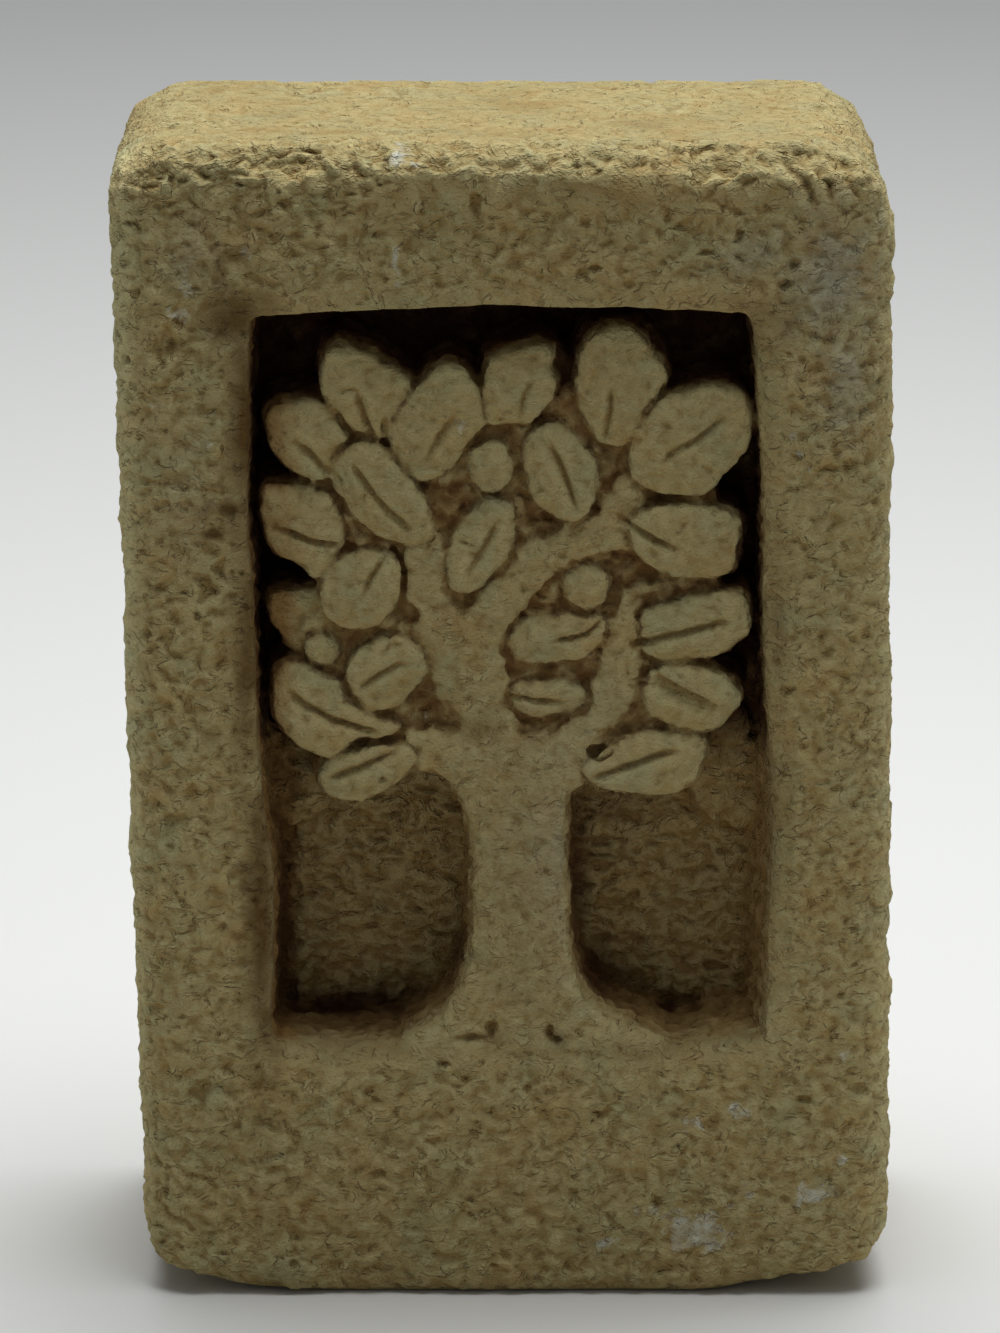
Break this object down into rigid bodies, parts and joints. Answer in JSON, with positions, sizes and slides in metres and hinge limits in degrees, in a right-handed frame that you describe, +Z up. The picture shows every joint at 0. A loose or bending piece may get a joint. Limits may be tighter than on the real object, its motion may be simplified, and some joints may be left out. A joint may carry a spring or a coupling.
{
  "type": "tree of life plaque",
  "caption": "Hand-carved stone block that stands on its foot, its front hollowed by a recess with a leafy tree in deep relief.",
  "frame": {"origin": "under the middle of the block, on the surface it stands on", "axes": "+Z up, the carved front faces -Y, +X to the viewer's right"},
  "size_m": [0.0997, 0.052, 0.153],
  "materials": {
    "stone": "rough hand-cut soft limestone, dry and dull"
  },
  "bodies": {
    "root": {"plaque": "stone"}
  },
  "joints": []
}
